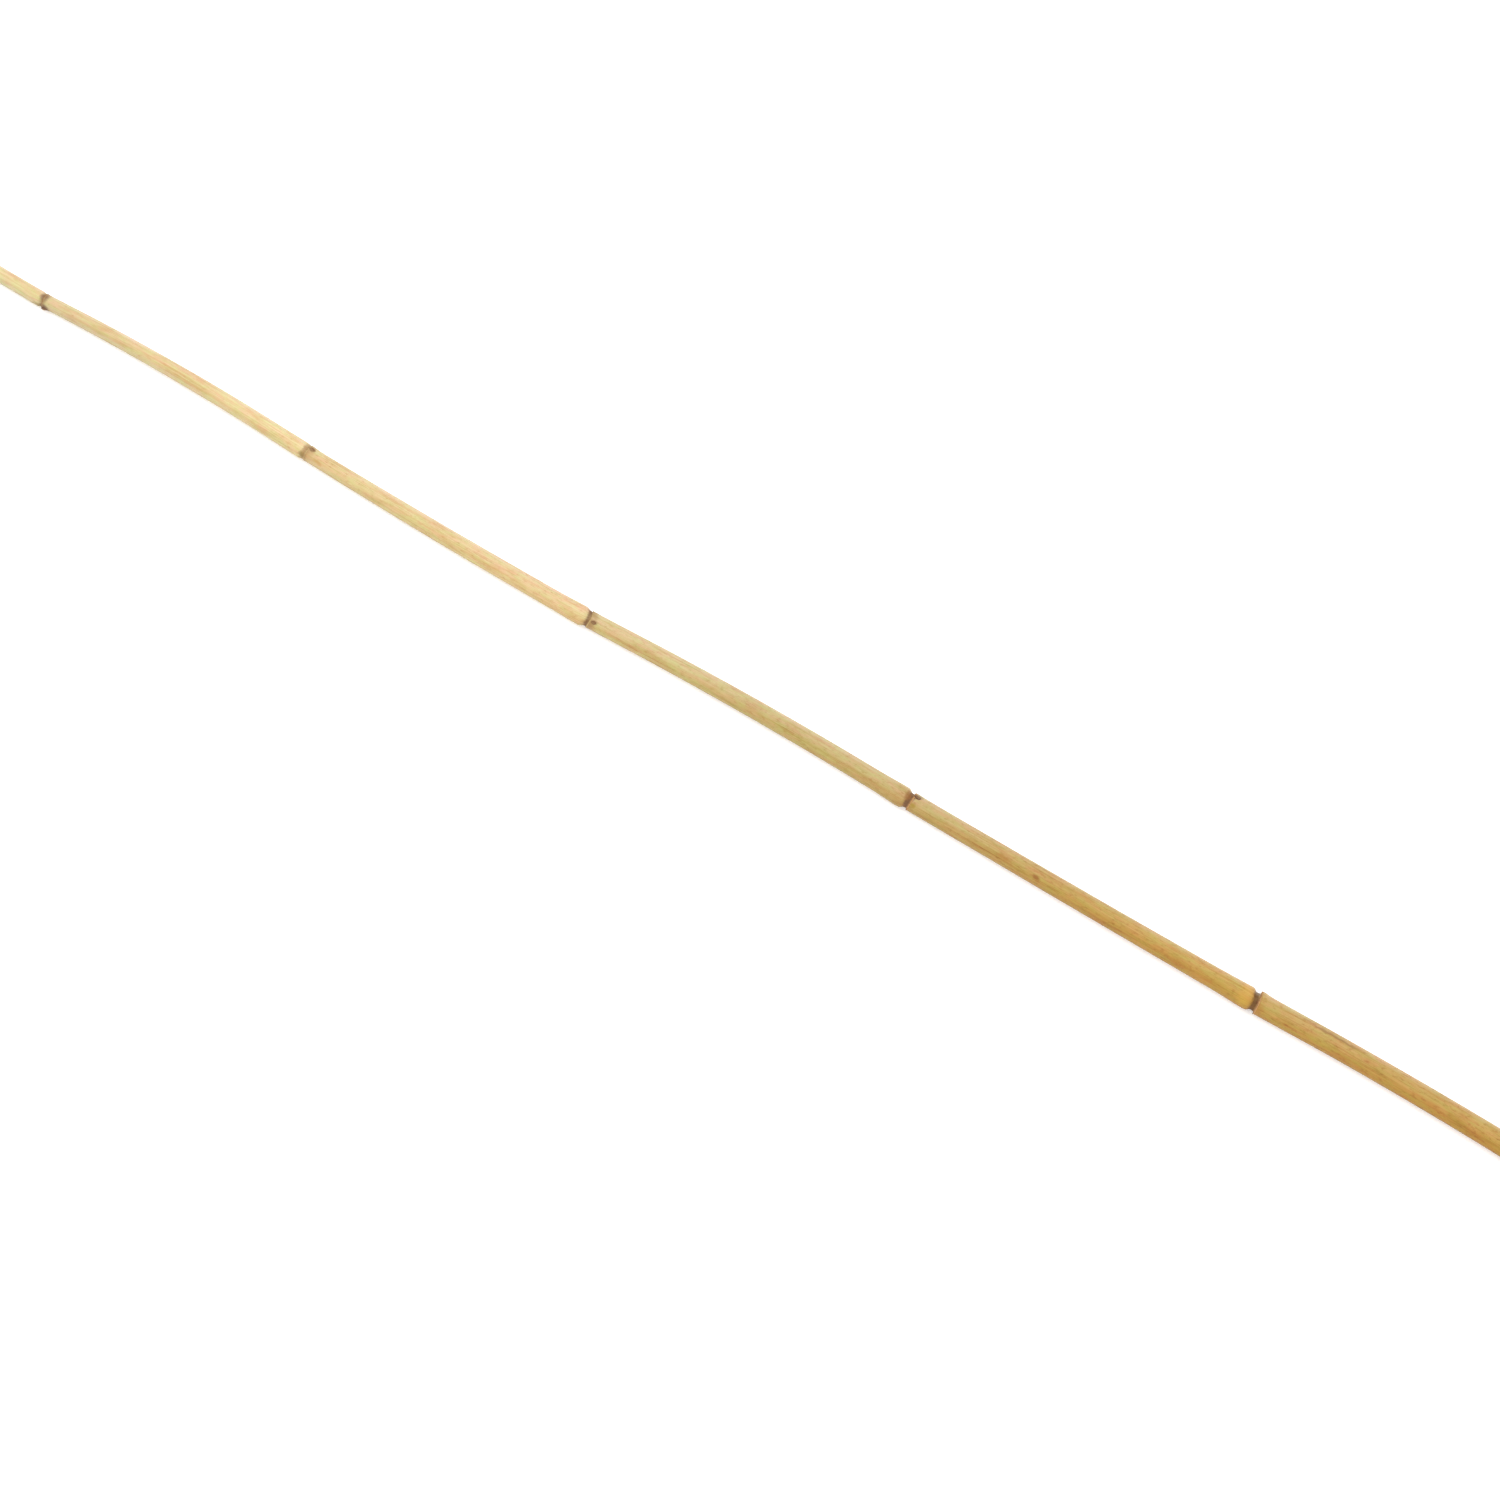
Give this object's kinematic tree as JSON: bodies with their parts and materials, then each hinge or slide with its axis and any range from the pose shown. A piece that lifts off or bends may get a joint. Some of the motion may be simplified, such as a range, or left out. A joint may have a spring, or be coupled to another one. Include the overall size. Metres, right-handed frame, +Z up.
{
  "type": "bamboo cane",
  "caption": "Thin bamboo cane lying on its side, slightly wavy and tapered, with dark ringed joints, trimmed buds and sawn ends.",
  "frame": {"origin": "middle of the cane's box in plan, on the surface that it lies on", "axes": "+X along the cane towards its thick butt end, +Y across it, +Z up from the surface"},
  "size_m": [1.2004, 0.0182, 0.0149],
  "materials": {
    "bamboo": "satin"
  },
  "bodies": {
    "root": {"cane": "bamboo"}
  },
  "joints": []
}
